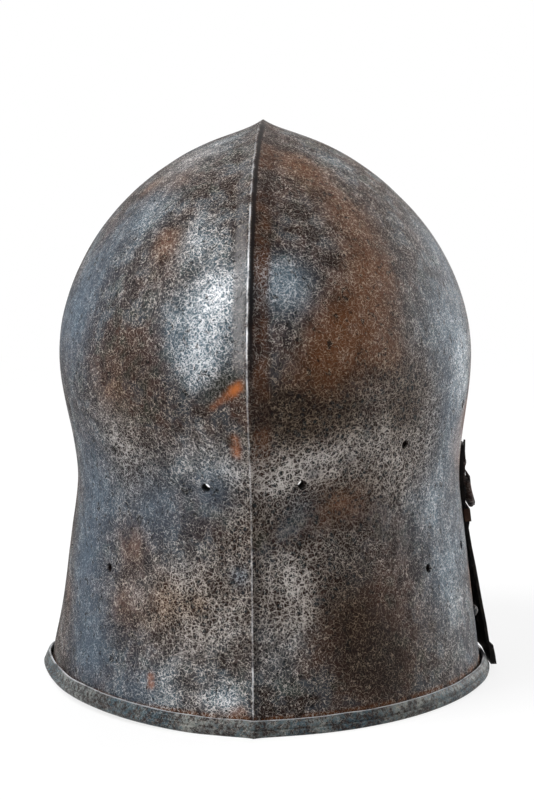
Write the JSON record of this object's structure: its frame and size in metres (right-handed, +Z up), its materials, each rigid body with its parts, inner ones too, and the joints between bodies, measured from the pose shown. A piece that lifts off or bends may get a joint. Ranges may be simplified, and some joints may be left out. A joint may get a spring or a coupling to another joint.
{
  "type": "barbute",
  "caption": "Open-faced forged iron war helmet with a medial ridge, a waisted nape, a rolled lower edge and a leather strap with an iron buckle on the right cheek.",
  "frame": {"origin": "on the ground below the middle of the whole helmet's width and depth", "axes": "+Z up to the crown; face opening towards -Y and nape towards +Y; the wearer's right side, with the strap, is -X"},
  "size_m": [0.2349, 0.2806, 0.2905],
  "materials": {
    "sheet_iron": "hammered, dark brown patina with fine pitting, worn bright in places",
    "wire_iron": "dull drawn wire",
    "rivet_iron": "hammered, lightly worn",
    "buckle_iron": "filed, dark and dull",
    "strap_leather": "old black leather, creased, with a slight sheen",
    "keeper_leather": "old dark brown leather"
  },
  "bodies": {
    "helmet": {"skull": "sheet_iron", "rim_wire": "wire_iron", "skirt_rivet": "rivet_iron", "skirt_rove": "rivet_iron", "strap": "strap_leather", "strap_keeper": "keeper_leather", "buckle_plate": "buckle_iron", "plate_rivets": "rivet_iron", "plate_roves": "rivet_iron"},
    "buckle": {"buckle_frame": "buckle_iron"},
    "tongue": {"buckle_tongue": "buckle_iron"}
  },
  "joints": [
    {"name": "buckle_swing", "type": "hinge", "parent": "helmet", "child": "buckle", "pos_m": [-0.104, -0.01756, 0.0995], "axis": [-0.1098, 0.994, 0], "range_deg": [0, 90]},
    {"name": "tongue_swing", "type": "hinge", "parent": "buckle", "child": "tongue", "pos_m": [-0.104, -0.01756, 0.0995], "axis": [-0.1098, 0.994, 0], "range_deg": [0, 60]}
  ]
}
